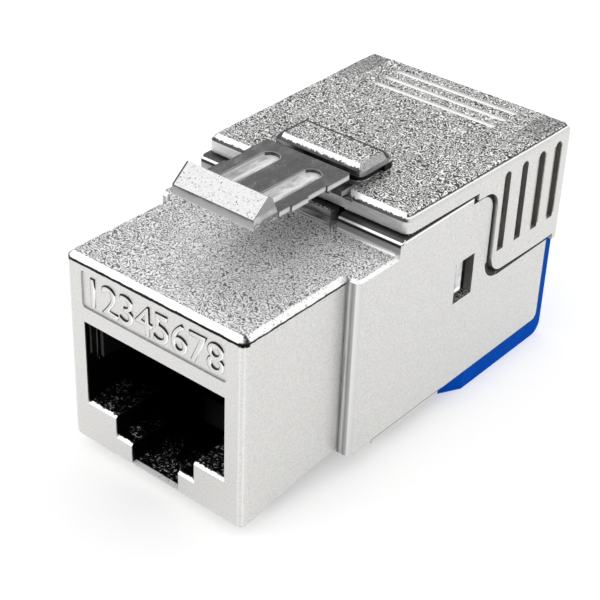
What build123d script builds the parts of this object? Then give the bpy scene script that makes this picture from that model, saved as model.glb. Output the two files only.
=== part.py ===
"""Shielded keystone jack, in millimetres.

X runs to the right as seen from the port, Y from the port face to the cable, and Z up.
The origin is at the middle of the lower front edge of the port face.
"""

import os
from build123d import *

# Port section, the part that stands in the panel
face_width = 15.2
face_height = 14.7
nose_length = 9.55
belly_height = 0.95
edge_bevel = 0.35
small_bevel = 0.2
corner_radius = 0.5
deck_thickness = 1.0
foot_level = -0.7

# Rear body
shoulder_step = 1.0
body_length = 32.6
side_wall = 1.4
skirt_step = 0.75
body_floor = 1.05

# Ridge in front of the cover
ridge_start = 13.7
ridge_rise = 1.15
ridge_wall = 0.9
ridge_bevel = 0.3
ridge_slot_width = 0.6
ridge_slot_place = 3.2

# Plug port and its stepped latch notch
port_width = 12.2
port_floor = 3.55
port_height = 6.35
port_depth = 12.9
notch_width = 7.0
notch_floor = 2.0
ledge_depth = 1.75
keel_width = 4.2
keel_floor = 0.46
channel_end = 6.2
channel_floor = 0.85
mouth_bevel = 0.2

# Label panel above the port
label_width = 12.4
label_gap = 1.1
label_height = 2.8
label_depth = 0.12
label_corner = 0.25

# Panel seat under the nose
keel_rib_width = 9.2
panel_slot_start = 7.8
panel_slot_end = 9.8
hook_end = 12.2
pad_start = 12.32
pad_end = 20.0
pad_drop = 0.5
pad_inset = 0.15

# Side window and the snap boss of the pair shield
window_start = 20.53
window_length = 2.19
window_below_web = 0.97
window_height = 3.2
boss_length = 0.9
boss_sill = 0.76
boss_recess = 0.12

# Seam between the side plates and the skirts of the cover
seam_gap = 0.15
seam_front = 22.05
seam_drop = 0.55
seam_shoulder = 23.1
seam_column = 24.5
seam_low = 8.2
seam_foot_gap = 0.33
seam_shoulder_radius = 1.3
seam_foot_radius = 1.35

# Rear cover
cover_thickness = 1.3
cover_front = 14.4
cover_overhang = 1.0
cover_rear_wall = 0.85
skirt_proud = 0.4
skirt_thickness = 0.85
cover_bevel = 0.46
cover_edge_radius = 0.15
cover_front_radius = 0.6
cover_rear_radius = 0.6
skirt_start = 21.95
widest_setback = 2.0
lip_drop = 0.5
grip_slot_width = 0.75
grip_slot_depth = 0.5
grip_slot_bottom = 10.22
grip_slot_top = 16.4
grip_front_margin = 1.02
grip_rear_margin = 0.81
grip_slot_count = 4
groove_length = 10.7
groove_width = 0.5
groove_depth = 0.25
groove_setback = 3.65
groove_pitch = 1.375
groove_count = 3
side_fall_setback = 5.7
side_fall_place = 6.85
side_fall_depth = 0.13
cable_radius = 4.0
cable_height = 8.3

# Strap of the cover that holds the latch root
strap_width = 7.5
strap_front = 15.6
strap_rear = 18.95
strap_lift = 0.55
strap_thickness = 0.78
strap_bevel = 0.4
strap_corner = 0.45
neck_inset = 0.22
neck_corner = 0.8
strap_heel = 0.75
pocket_depth = 0.62
pocket_width = 7.0
pocket_rear = 15.95
pocket_corner = 0.8
pocket_setback = 0.1
tail_slot_rear = 16.9

# Latch tab
latch_width = 6.8
latch_wide = 7.1
latch_thickness = 0.42
latch_top = 18.48
latch_rear = 14.76
latch_step_first = 8.9
latch_step_second = 10.5
latch_step_third = 12.4
lip_front = 5.48
lip_edge_height = 18.8
lip_crest = 6.83
lip_height = 19.9
lip_back = 7.18
lip_back_height = 19.68
lip_root = 7.7
latch_riser_width = 5.2
latch_riser_front = 13.9
latch_foot_thickness = 0.38
latch_foot_front = 14.15
latch_foot_end = 15.45
latch_foot_width = 6.7
latch_tail_end = 16.35
latch_tail_width = 5.0
latch_channel_width = 1.4
latch_channel_place = 1.75
latch_channel_depth = 0.24
latch_channel_rear = 13.6
latch_clearance = 0.24

# Inner parts
board_front = 14.75
board_thickness = 1.1
board_inset = 0.35
board_bottom = 2.4
board_top = 14.4
part_clearance = 0.1
insert_wall = 1.4
insert_roof = 1.4
comb_lift = 0.2
comb_slot_bottom = 6.95
comb_slot_width = 0.66
comb_slot_front = 3.4
contact_count = 8
contact_pitch = 1.016
contact_wire = 0.36
contact_root_low = 7.5
contact_root_high = 8.7
contact_root_bend = 13.2
contact_rise_end = 5.6
contact_tip_height = 10.6
contact_tip = 4.5
contact_bend_radius = 0.9
contact_hole_radius = 0.38

# Terminals, towers and pair shield
tower_start = 16.0
tower_end = 22.4
tower_inner = 0.65
tower_inset = 0.55
tower_low_bottom = 2.3
tower_web_gap = 0.3
tower_high_top = 15.2
idc_places = (2.2, 5.0)
idc_width = 1.9
idc_sheet = 0.4
idc_end = 25.0
idc_fork_depth = 2.1
idc_fork_width = 0.34
idc_pin_width = 0.6
idc_slot_clearance = 0.06
shield_web = 0.7
shield_post = 0.8
shield_web_height = 8.85
shield_end = 25.4
shield_inset = 0.15
shield_bottom = 2.15
shield_top = 15.5

# Wire manager
manager_inset = 0.1
manager_front = 20.3
manager_overhang = 0.9
manager_wall = 0.75
manager_nose_run = 2.75
manager_nose_cut = 1.45
manager_corner = 1.0
manager_block_inset = 0.25
manager_block_front = 23.0
manager_block_setback = 3.4
manager_block_top = 15.3
manager_clearance = 0.15
cradle_top = 7.5
block_bore_radius = 3.0
wire_slot_width = 1.1
wire_slot_depth = 1.9
wire_slot_reach = 6.1
blade_pocket_depth = 3.2
blade_pocket_clearance = 0.25

# Springs
spring_sheet = 0.25
spring_height = 2.9
spring_middle = 8.05
spring_root = 10.2
spring_bow_place = 3.9
spring_bow = 0.5
spring_tip = 1.3
spring_tip_bow = 0.1
spring_pocket_depth = 0.8
spring_pocket_clearance = 0.25
screen_width = 7.0
screen_sheet = 0.3
screen_tab_gap = 0.25
screen_tab_length = 0.65
screen_slope_run = 1.4
screen_drop = 3.0
screen_seat_gap = 0.02

os.makedirs("parts", exist_ok=True)

body_width = face_width + 2 * shoulder_step
cover_width = body_width + 2 * skirt_proud
half_face = face_width / 2
half_body = body_width / 2
half_port = port_width / 2
half_cover = cover_width / 2
port_top = port_floor + port_height
label_bottom = port_top + label_gap
cavity_half = half_body - side_wall
cavity_floor = belly_height + body_floor
cavity_front = ridge_start + ridge_wall
deck_underside = face_height - deck_thickness
ridge_height = face_height + ridge_rise
inner_wall_outer = half_body - skirt_step
seam_step_height = ridge_height - seam_drop
cover_underside = ridge_height + seam_gap
cover_top = cover_underside + cover_thickness
cover_rear = body_length + cover_overhang
cover_widest = body_length - widest_setback
grip_slot_first = seam_column + grip_front_margin
grip_slot_pitch = (body_length - grip_rear_margin - grip_slot_first) / (grip_slot_count - 1)
groove_first = body_length - groove_setback
side_fall_start = body_length - side_fall_setback
skirt_inner = half_cover - skirt_thickness
skirt_bottom = seam_low + seam_foot_gap
pocket_floor = cover_top - pocket_depth
strap_bottom = cover_top + strap_lift
strap_top = strap_bottom + strap_thickness
window_bottom = shield_web_height - window_below_web
boss_bottom = window_bottom + boss_sill
boss_top = window_bottom + window_height
tower_outer = cavity_half - tower_inset
tower_low_top = shield_web_height - shield_web / 2 - tower_web_gap
tower_high_bottom = shield_web_height + shield_web / 2 + tower_web_gap
idc_low_height = (tower_low_bottom + tower_low_top) / 2
idc_high_height = (tower_high_bottom + tower_high_top) / 2
board_width = 2 * (cavity_half - board_inset)
board_rear = board_front + board_thickness
insert_front = insert_wall + part_clearance
insert_rear = board_front - part_clearance
insert_top = deck_underside - part_clearance
insert_ceiling = insert_top - insert_roof
comb_bottom = port_top + comb_lift
shield_wing = cavity_half - shield_inset
manager_width = body_width - 2 * manager_inset
manager_end = body_length + manager_overhang
manager_block_end = body_length - manager_block_setback
screen_tab = manager_block_end + screen_tab_gap
screen_bend = screen_tab + screen_tab_length
screen_low = screen_bend + screen_slope_run
manager_top = skirt_bottom - lip_drop - seam_gap
block_half = cavity_half - manager_block_inset
block_bottom = cavity_floor + manager_clearance
latch_underside = latch_top - latch_thickness
latch_foot_bottom = pocket_floor + latch_clearance
latch_foot_top = latch_foot_bottom + latch_foot_thickness
tail_slot_top = latch_foot_top + 2 * latch_clearance


def finish(piece, name):
    """Labels a finished piece and writes it as one STEP file."""
    piece.part.label = name
    export_step(piece.part, f"parts/{name}.step")


def side_plane(x):
    """The plane across X at x, with sketch axes Y and Z."""
    return Plane.YZ.offset(x)


def front_plane(y):
    """The plane across Y at y, with sketch axes X and Z, whose extrusions run towards the cable."""
    return Plane(origin=(0, y, 0), x_dir=(-1, 0, 0), z_dir=(0, 1, 0))


# Front housing: one casting with the nose, the shoulder, the side plates and the ridge
with BuildPart() as front_housing:
    with BuildSketch(Plane.YZ):
        with BuildLine():
            Polyline(
                (0, 0),
                (nose_length + 1, belly_height * (nose_length + 1) / nose_length),
                (nose_length + 1, face_height),
                (0, face_height),
                close=True,
            )
        make_face()
    extrude(amount=half_face, both=True)
    nose_corners = front_housing.edges().filter_by(Axis.Z).group_by(Axis.Y)[0]
    fillet(nose_corners, corner_radius)
    lower_edges = (
        front_housing.edges()
        .filter_by(lambda edge: edge.center().Z < belly_height)
        .filter_by(lambda edge: corner_radius < edge.center().Y < nose_length)
    )
    fillet(lower_edges, corner_radius)
    top_edges = front_housing.faces().sort_by(Axis.Z)[-1].edges().group_by(Axis.Y)[:-1]
    chamfer([edge for group in top_edges for edge in group], edge_bevel)

    # Side plates, up to the seam under the cover
    with BuildSketch(Plane.YZ):
        with BuildLine():
            Polyline(
                (nose_length, belly_height),
                (nose_length, face_height),
                (ridge_start, face_height),
                (ridge_start, ridge_height),
                (seam_front, ridge_height),
                (seam_front, seam_step_height),
                (seam_shoulder, seam_step_height),
            )
            shoulder = TangentArc(
                (seam_shoulder, seam_step_height),
                (seam_column, seam_step_height - seam_shoulder_radius),
                tangent=(1, 0),
            )
            Line(shoulder @ 1, (seam_column, seam_low + seam_foot_radius))
            foot = TangentArc(
                (seam_column, seam_low + seam_foot_radius),
                (seam_column + seam_foot_radius, seam_low),
                tangent=(0, -1),
            )
            Polyline(
                foot @ 1,
                (body_length, seam_low),
                (body_length, belly_height),
                (nose_length, belly_height),
            )
        make_face()
    extrude(amount=half_body, both=True)
    shoulder_edges = (
        front_housing.edges()
        .filter_by(Axis.Z)
        .filter_by(lambda edge: abs(abs(edge.center().X) - half_body) < 0.01)
        .filter_by(lambda edge: edge.center().Y < nose_length + 1)
    )
    fillet(shoulder_edges, corner_radius)
    shoulder_top = (
        front_housing.edges()
        .filter_by(lambda edge: abs(edge.center().Z - face_height) < 0.01)
        .filter_by(lambda edge: abs(edge.center().X) > half_face + 0.01)
        .filter_by(lambda edge: edge.center().Y < ridge_start - 0.01)
    )
    chamfer(shoulder_top, small_bevel)
    ridge_root = (
        front_housing.edges()
        .filter_by(Axis.X)
        .filter_by(lambda edge: abs(edge.center().Y - ridge_start) < 0.01)
        .filter_by(lambda edge: abs(edge.center().Z - face_height) < 0.01)
    )
    fillet(ridge_root, ridge_bevel)

    # Inner walls that run on behind the skirts of the cover
    with BuildSketch(Plane.YZ):
        with Locations(((nose_length + body_length - 1) / 2, (belly_height + ridge_height) / 2)):
            Rectangle(body_length - 1 - nose_length, ridge_height - belly_height)
        with Locations(((nose_length + ridge_start) / 2, (face_height + ridge_height + 1) / 2)):
            Rectangle(ridge_start - nose_length + 2, ridge_height - face_height + 1, mode=Mode.SUBTRACT)
    extrude(amount=inner_wall_outer, both=True)

    # Keel rib, panel hook and floor pad under the housing
    with BuildSketch(Plane.YZ):
        with BuildLine():
            Polyline(
                (corner_radius, 0),
                (panel_slot_start, 0),
                (panel_slot_start, belly_height + 0.5),
                (corner_radius, belly_height + 0.5),
                close=True,
            )
        make_face()
        with BuildLine():
            Polyline(
                (panel_slot_end, belly_height + 0.5),
                (panel_slot_end, belly_height - 0.3),
                (panel_slot_end + 0.6, foot_level),
                (hook_end - 0.4, foot_level),
                (hook_end, 0),
                (hook_end, belly_height + 0.5),
                close=True,
            )
        make_face()
    extrude(amount=keel_rib_width / 2, both=True)
    with BuildSketch(Plane.YZ):
        with Locations(((pad_start + pad_end) / 2, belly_height)):
            Rectangle(pad_end - pad_start, 2 * pad_drop)
    extrude(amount=half_body - pad_inset, both=True)

    # Port with its stepped notch, from the face
    with BuildSketch(front_plane(0)):
        with Locations((0, (port_floor + port_top) / 2)):
            Rectangle(port_width, port_height)
    extrude(amount=cavity_front, mode=Mode.SUBTRACT)
    with BuildSketch(front_plane(0)):
        with Locations((0, (notch_floor + port_floor) / 2)):
            Rectangle(notch_width, port_floor - notch_floor)
    extrude(amount=port_depth, mode=Mode.SUBTRACT)
    with BuildSketch(Plane.YZ) as channel_side:
        with BuildLine():
            Polyline(
                (0, keel_floor),
                (channel_end, channel_floor),
                (channel_end + 1, notch_floor),
                (0, notch_floor),
                close=True,
            )
        make_face()
    extrude(amount=keel_width / 2, both=True, mode=Mode.SUBTRACT)
    with BuildSketch(Plane.YZ):
        add(channel_side.sketch)
        with Locations((ledge_depth / 2, notch_floor / 2)):
            Rectangle(ledge_depth, notch_floor, mode=Mode.SUBTRACT)
    extrude(amount=notch_width / 2, both=True, mode=Mode.SUBTRACT)
    mouth_edges = (
        front_housing.edges()
        .filter_by(Axis.X)
        .filter_by(lambda edge: abs(edge.center().Y) < 0.001)
        .filter_by(lambda edge: abs(edge.center().X) < half_port + 0.01)
        .filter_by(lambda edge: keel_floor - 0.01 < edge.center().Z < port_floor + 0.01)
    )
    chamfer(mouth_edges, mouth_bevel)

    # Seat of the contact insert above the port, and the rear cavity
    with BuildSketch(front_plane(insert_front - part_clearance)):
        with Locations((0, (port_top + deck_underside) / 2)):
            Rectangle(port_width, deck_underside - port_top)
    extrude(amount=cavity_front, mode=Mode.SUBTRACT)
    with BuildSketch(front_plane(cavity_front)):
        with Locations((0, (cavity_floor + cover_top) / 2)):
            Rectangle(2 * cavity_half, cover_top - cavity_floor)
    extrude(amount=body_length, mode=Mode.SUBTRACT)

    # Label panel, sunk a little into the face
    with BuildSketch(front_plane(0)):
        with Locations((0, label_bottom + label_height / 2)):
            RectangleRounded(label_width, label_height, label_corner)
    extrude(amount=label_depth, mode=Mode.SUBTRACT)

    # Two slots through the ridge, with a bevel outside them and a plain block between
    with BuildSketch(front_plane(ridge_start - 0.5)):
        for side in (-1, 1):
            with Locations((side * ridge_slot_place, (face_height + cover_top) / 2)):
                Rectangle(ridge_slot_width, cover_top - face_height)
    extrude(amount=ridge_wall + 1, mode=Mode.SUBTRACT)
    ridge_edges = (
        front_housing.edges()
        .filter_by(Axis.X)
        .filter_by(lambda edge: abs(edge.center().Z - ridge_height) < 0.01)
        .filter_by(lambda edge: abs(edge.center().Y - ridge_start) < 0.01)
        .filter_by(lambda edge: abs(edge.center().X) > ridge_slot_place)
    )
    chamfer(ridge_edges, ridge_bevel)

    # Side windows
    with BuildSketch(side_plane(-body_width)):
        with Locations((window_start + window_length / 2, window_bottom + window_height / 2)):
            Rectangle(window_length, window_height)
    extrude(amount=2 * body_width, mode=Mode.SUBTRACT)

    # Pockets for the ground springs in the side walls of the port
    with BuildSketch(Plane.XY.offset(spring_middle - spring_height / 2 - spring_pocket_clearance)):
        for side in (-1, 1):
            with Locations((side * half_port, (spring_tip + spring_root) / 2)):
                Rectangle(
                    2 * spring_pocket_depth,
                    spring_root - spring_tip + 2 * spring_pocket_clearance,
                )
    extrude(amount=spring_height + 2 * spring_pocket_clearance, mode=Mode.SUBTRACT)

    # Rounded lower rear corners of the side plates
    rear_corners = (
        front_housing.edges()
        .filter_by(Axis.X)
        .filter_by(lambda edge: abs(edge.center().Y - body_length) < 0.01)
        .filter_by(lambda edge: edge.center().Z < belly_height + 0.01)
    )
    fillet(rear_corners, corner_radius)
finish(front_housing, "front_housing")


# Contact insert: comb moulding above the port, with one slot for each wire
contact_slope = (contact_tip_height - contact_root_high) / (contact_root_bend - contact_rise_end)
with BuildPart() as contact_insert:
    with BuildSketch(Plane.YZ):
        with BuildLine():
            Polyline(
                (insert_front, comb_bottom),
                (insert_front, insert_top),
                (insert_rear, insert_top),
                (insert_rear, port_floor + part_clearance),
                (contact_root_bend, port_floor + part_clearance),
                (contact_root_bend, contact_root_high + contact_wire),
                (
                    contact_root_bend - (comb_bottom - contact_root_high - contact_wire) / contact_slope,
                    comb_bottom,
                ),
                close=True,
            )
        make_face()
    extrude(amount=half_port - part_clearance, both=True)
    with BuildSketch(Plane.XY.offset(comb_slot_bottom)):
        for number in range(contact_count):
            place = (number - (contact_count - 1) / 2) * contact_pitch
            with Locations((place, (comb_slot_front + insert_rear) / 2)):
                Rectangle(comb_slot_width, insert_rear - comb_slot_front)
    extrude(amount=insert_ceiling - comb_slot_bottom, mode=Mode.SUBTRACT)
    front_edges = contact_insert.edges().filter_by(Axis.X).group_by(Axis.Y)[0]
    chamfer(front_edges, edge_bevel)
finish(contact_insert, "contact_insert")


# Contact wires: cantilevers that start in the board and rise towards the port face
for number in range(contact_count):
    place = (number - (contact_count - 1) / 2) * contact_pitch
    root_height = contact_root_low if number % 2 else contact_root_high
    with BuildPart() as contact_spring:
        with BuildSketch(side_plane(place)):
            with BuildLine():
                FilletPolyline(
                    (board_rear, root_height),
                    (contact_root_bend, root_height),
                    (contact_rise_end, contact_tip_height),
                    (contact_tip, contact_tip_height),
                    radius=contact_bend_radius,
                )
            trace(line_width=contact_wire)
        extrude(amount=contact_wire / 2, both=True)
    finish(contact_spring, f"contact_spring_{number + 1}")


# Circuit board between the insert and the towers, with its plated holes
idc_spots = [
    (side * place, height)
    for height in (idc_low_height, idc_high_height)
    for side in (-1, 1)
    for place in idc_places
]
with BuildPart() as circuit_board:
    with BuildSketch(front_plane(board_front)):
        with Locations((0, (board_bottom + board_top) / 2)):
            RectangleRounded(board_width, board_top - board_bottom, corner_radius)
        for number in range(contact_count):
            place = (number - (contact_count - 1) / 2) * contact_pitch
            root_height = contact_root_low if number % 2 else contact_root_high
            with Locations((-place, root_height)):
                Circle(contact_hole_radius, mode=Mode.SUBTRACT)
        for x, z in idc_spots:
            with Locations((-x, z)):
                Rectangle(
                    idc_pin_width + 2 * idc_slot_clearance,
                    idc_sheet + 2 * idc_slot_clearance,
                    mode=Mode.SUBTRACT,
                )
    extrude(amount=board_thickness)
finish(circuit_board, "circuit_board")


# Insulation-displacement terminals: a pin, a body and a fork that opens towards the cable
for number, (x, z) in enumerate(idc_spots):
    with BuildPart() as idc_contact:
        with BuildSketch(Plane.XY.offset(z)):
            with Locations((x, (board_front + tower_start + 1) / 2)):
                Rectangle(idc_pin_width, tower_start + 1 - board_front)
            with Locations((x, (tower_start + 0.4 + idc_end) / 2)):
                Rectangle(idc_width, idc_end - tower_start - 0.4)
            with Locations((x, idc_end - idc_fork_depth / 2)):
                Rectangle(idc_fork_width, idc_fork_depth, mode=Mode.SUBTRACT)
            with BuildLine():
                Polyline(
                    (x - idc_width / 3, idc_end),
                    (x + idc_width / 3, idc_end),
                    (x, idc_end - idc_fork_depth / 2),
                    close=True,
                )
            make_face(mode=Mode.SUBTRACT)
        extrude(amount=idc_sheet / 2, both=True)
    finish(idc_contact, f"idc_contact_{number + 1}")


# Towers: one plastic block for each pair, with a slot for each terminal
for number, (side, bottom, top, middle) in enumerate(
    (
        (-1, tower_low_bottom, tower_low_top, idc_low_height),
        (1, tower_low_bottom, tower_low_top, idc_low_height),
        (-1, tower_high_bottom, tower_high_top, idc_high_height),
        (1, tower_high_bottom, tower_high_top, idc_high_height),
    )
):
    with BuildPart() as idc_tower:
        with BuildSketch(front_plane(tower_start)):
            with Locations((-side * (tower_inner + tower_outer) / 2, (bottom + top) / 2)):
                RectangleRounded(tower_outer - tower_inner, top - bottom, label_corner)
            for place in idc_places:
                with Locations((-side * place, middle)):
                    Rectangle(
                        idc_width + 2 * idc_slot_clearance,
                        idc_sheet + 2 * idc_slot_clearance,
                        mode=Mode.SUBTRACT,
                    )
        extrude(amount=tower_end - tower_start)
        rear_rim = idc_tower.faces().sort_by(Axis.Y)[-1].outer_wire().edges()
        chamfer(rear_rim, label_corner)
    finish(idc_tower, f"idc_tower_{number + 1}")


# Pair shield: a cross of two webs, with a snap boss at each side for the windows
boss_root = tower_outer + part_clearance
boss_outer = half_body - boss_recess
with BuildPart() as pair_shield:
    with BuildSketch(front_plane(tower_start)):
        with Locations((0, shield_web_height)):
            Rectangle(2 * shield_wing, shield_web)
        with Locations((0, (shield_bottom + shield_top) / 2)):
            Rectangle(shield_post, shield_top - shield_bottom)
    extrude(amount=shield_end - tower_start)
    for side in (-1, 1):
        with BuildSketch(side_plane(side * boss_root)):
            with Locations((window_start + part_clearance + boss_length / 2, (boss_bottom + boss_top) / 2)):
                Rectangle(boss_length, boss_top - boss_bottom)
        extrude(amount=side * (boss_outer - boss_root))
finish(pair_shield, "pair_shield")


# Rear cover: top plate, skirts and rear wall, with the strap over the latch root
with BuildPart() as rear_cover:
    with BuildSketch(Plane.XY.offset(cover_underside)):
        with Locations((0, (cover_front + cover_rear) / 2)):
            Rectangle(cover_width, cover_rear - cover_front)
    extrude(amount=cover_top - cover_underside)
    with BuildSketch(Plane.YZ):
        with BuildLine():
            Polyline(
                (seam_front + seam_gap, cover_top),
                (seam_front + seam_gap, seam_step_height + seam_gap),
                (seam_shoulder + seam_gap, seam_step_height + seam_gap),
            )
            shoulder = TangentArc(
                (seam_shoulder + seam_gap, seam_step_height + seam_gap),
                (seam_column + seam_gap, seam_step_height - seam_shoulder_radius + seam_gap),
                tangent=(1, 0),
            )
            Line(shoulder @ 1, (seam_column + seam_gap, skirt_bottom + seam_foot_radius))
            foot = TangentArc(
                (seam_column + seam_gap, skirt_bottom + seam_foot_radius),
                (seam_column + seam_gap + seam_foot_radius, skirt_bottom),
                tangent=(0, -1),
            )
            Polyline(
                foot @ 1,
                (body_length + seam_gap / 2, skirt_bottom),
                (body_length + seam_gap / 2, skirt_bottom - lip_drop),
                (cover_rear, skirt_bottom - lip_drop),
                (cover_rear, cover_top),
                (seam_front + seam_gap, cover_top),
            )
        make_face()
    extrude(amount=half_cover, both=True)
    with BuildSketch(Plane.YZ):
        with BuildLine():
            Polyline(
                (skirt_start - 1, cover_underside),
                (cover_rear - cover_rear_wall, cover_underside),
                (cover_rear - cover_rear_wall, skirt_bottom - 2 * lip_drop),
                (skirt_start - 1, skirt_bottom - 2 * lip_drop),
                close=True,
            )
        make_face()
    extrude(amount=skirt_inner, both=True, mode=Mode.SUBTRACT)

    # In plan the sides widen evenly from the front to the last grip slots
    with BuildSketch(Plane.XY.offset(skirt_bottom - 2 * lip_drop)):
        with BuildLine():
            Polyline(
                (-half_body, cover_front),
                (half_body, cover_front),
                (half_cover, cover_widest),
                (half_cover, cover_rear),
                (-half_cover, cover_rear),
                (-half_cover, cover_widest),
                close=True,
            )
        make_face()
    extrude(amount=cover_top - skirt_bottom + 2 * lip_drop, mode=Mode.INTERSECT)

    # Rounded corners in plan, then the bright bevel along the front
    rear_verticals = (
        rear_cover.edges()
        .filter_by(Axis.Z)
        .filter_by(lambda edge: edge.center().Y > cover_rear - 0.01)
        .filter_by(lambda edge: abs(edge.center().X) > half_cover - 0.01)
    )
    fillet(rear_verticals, cover_rear_radius)
    front_verticals = (
        rear_cover.edges()
        .filter_by(Axis.Z)
        .filter_by(lambda edge: edge.center().Y < cover_front + 0.01)
    )
    fillet(front_verticals, cover_front_radius)
    front_rim = (
        rear_cover.edges()
        .filter_by(lambda edge: edge.center().Z > cover_top - 0.01)
        .filter_by(lambda edge: edge.center().Y < skirt_start - 0.01)
    )
    chamfer(front_rim, cover_bevel)
    rear_rim = (
        rear_cover.edges()
        .filter_by(lambda edge: edge.center().Z > cover_top - 0.01)
        .filter_by(lambda edge: edge.center().Y > skirt_start + 0.01)
    )
    fillet(rear_rim, cover_edge_radius)

    # Pocket in front of the strap, where the latch foot lies
    with BuildSketch(Plane.XY.offset(pocket_floor)):
        with Locations((0, (cover_front - 1 + pocket_rear) / 2)):
            Rectangle(pocket_width, pocket_rear - cover_front + 1)
    extrude(amount=cover_top - pocket_floor + 1, mode=Mode.SUBTRACT)
    pocket_corners = (
        rear_cover.edges()
        .filter_by(Axis.Z)
        .filter_by(lambda edge: abs(abs(edge.center().X) - pocket_width / 2) < 0.01)
        .filter_by(lambda edge: edge.center().Y < cover_front + cover_bevel + 0.01)
        .filter_by(lambda edge: edge.center().Z > pocket_floor)
    )
    fillet(pocket_corners, pocket_corner)
    with BuildSketch(Plane.XY.offset(cover_underside)):
        with Locations((0, cover_front + pocket_setback / 2)):
            Rectangle(pocket_width, pocket_setback)
    extrude(amount=pocket_floor - cover_underside, mode=Mode.SUBTRACT)

    # Strap: an inset neck with a wider slab over it, and a heel at the rear
    with BuildSketch(Plane.XY.offset(pocket_floor)):
        with Locations((0, (strap_front + strap_rear) / 2)):
            RectangleRounded(
                strap_width - 2 * neck_inset,
                strap_rear - strap_front - 2 * neck_inset,
                neck_corner,
            )
    extrude(amount=strap_bottom - pocket_floor)
    with BuildSketch(Plane.XY.offset(cover_top - 0.2)):
        with Locations((0, strap_rear - strap_heel / 2)):
            Rectangle(strap_width, strap_heel)
    extrude(amount=strap_bottom - cover_top + 0.2)
    with BuildSketch(Plane.XY.offset(strap_bottom)):
        with Locations((0, (strap_front + strap_rear) / 2)):
            RectangleRounded(strap_width, strap_rear - strap_front, strap_corner)
    extrude(amount=strap_top - strap_bottom)
    strap_rim = rear_cover.faces().sort_by(Axis.Z)[-1].edges()
    chamfer(strap_rim, strap_bevel)

    # Slot for the latch tail, from the pocket back into the neck
    with BuildSketch(front_plane(strap_front - 1)):
        with Locations((0, (pocket_floor + tail_slot_top) / 2)):
            Rectangle(latch_tail_width + 2 * seam_gap, tail_slot_top - pocket_floor)
    extrude(amount=tail_slot_rear - strap_front + 1, mode=Mode.SUBTRACT)

    # Grip slots in both skirts
    for side in (-1, 1):
        with BuildSketch(side_plane(side * half_cover)):
            for number in range(grip_slot_count):
                middle = grip_slot_first + number * grip_slot_pitch
                with Locations((middle, (grip_slot_bottom + grip_slot_top - grip_slot_width / 2) / 2)):
                    Rectangle(grip_slot_width, grip_slot_top - grip_slot_width / 2 - grip_slot_bottom)
                with Locations((middle, grip_slot_top - grip_slot_width / 2)):
                    Circle(grip_slot_width / 2)
        extrude(amount=-side * grip_slot_depth, mode=Mode.SUBTRACT)

    # Grip grooves across the top
    with BuildSketch(Plane.XY.offset(cover_top)):
        for number in range(groove_count):
            with Locations((0, groove_first + number * groove_pitch)):
                SlotOverall(groove_length, groove_width)
    extrude(amount=-groove_depth, mode=Mode.SUBTRACT)

    # The outer strips of the top fall away a little towards the rear
    for side in (-1, 1):
        with BuildSketch(side_plane(side * side_fall_place)):
            with BuildLine():
                Polyline(
                    (side_fall_start, cover_top),
                    (cover_rear + 1, cover_top - side_fall_depth),
                    (cover_rear + 1, cover_top + 1),
                    (side_fall_start, cover_top + 1),
                    close=True,
                )
            make_face()
        extrude(amount=side * half_cover, mode=Mode.SUBTRACT)

    # Half-round cable entry in the rear wall
    with BuildSketch(front_plane(cover_rear - 2 * cover_rear_wall)):
        with Locations((0, cable_height)):
            Circle(cable_radius)
    extrude(amount=3 * cover_rear_wall, mode=Mode.SUBTRACT)
finish(rear_cover, "rear_cover")


# Latch tab: foot and tail in the cover, a thin tab with two channels, and the panel lip
with BuildPart() as latch_tab:
    with BuildSketch(Plane.YZ):
        with BuildLine():
            Polyline(
                (lip_front, latch_underside),
                (lip_front, lip_edge_height),
                (lip_crest, lip_height),
                (lip_back, lip_back_height),
                (lip_root, latch_top),
                (lip_root, latch_underside),
                close=True,
            )
        make_face()
    extrude(amount=latch_width / 2, both=True)
    with BuildSketch(Plane.XY.offset(latch_underside)):
        with Locations((0, (lip_root + latch_rear) / 2)):
            Rectangle(latch_width, latch_rear - lip_root)
        with Locations((0, (latch_step_first + latch_step_second) / 2)):
            Rectangle(latch_wide, latch_step_second - latch_step_first)
        with Locations((0, (latch_step_third + latch_rear) / 2)):
            Rectangle(latch_wide, latch_rear - latch_step_third)
    extrude(amount=latch_thickness)
    tab_corners = (
        latch_tab.edges()
        .filter_by(Axis.Z)
        .filter_by(lambda edge: edge.center().Y > latch_rear - 0.01)
    )
    fillet(tab_corners, small_bevel)
    with BuildSketch(Plane.XY.offset(latch_foot_top)):
        with Locations((0, (latch_riser_front + latch_rear) / 2)):
            Rectangle(latch_riser_width, latch_rear - latch_riser_front)
    extrude(amount=latch_underside - latch_foot_top)
    with BuildSketch(Plane.XY.offset(latch_foot_bottom)):
        with Locations((0, (latch_foot_front + latch_foot_end) / 2)):
            Rectangle(latch_foot_width, latch_foot_end - latch_foot_front)
        with Locations((0, (latch_riser_front + latch_tail_end) / 2)):
            Rectangle(latch_tail_width, latch_tail_end - latch_riser_front)
    extrude(amount=latch_foot_thickness)

    # Two channels along the tab, open to the lip and round at the rear
    channel_end_centre = latch_channel_rear - latch_channel_width / 2
    with BuildSketch(Plane.XY.offset(latch_top)):
        for side in (-1, 1):
            with Locations((side * latch_channel_place, channel_end_centre)):
                Circle(latch_channel_width / 2)
            with Locations((side * latch_channel_place, (lip_root + channel_end_centre) / 2)):
                Rectangle(latch_channel_width, channel_end_centre - lip_root)
    extrude(amount=-latch_channel_depth, mode=Mode.SUBTRACT)
finish(latch_tab, "latch_tab")


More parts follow.
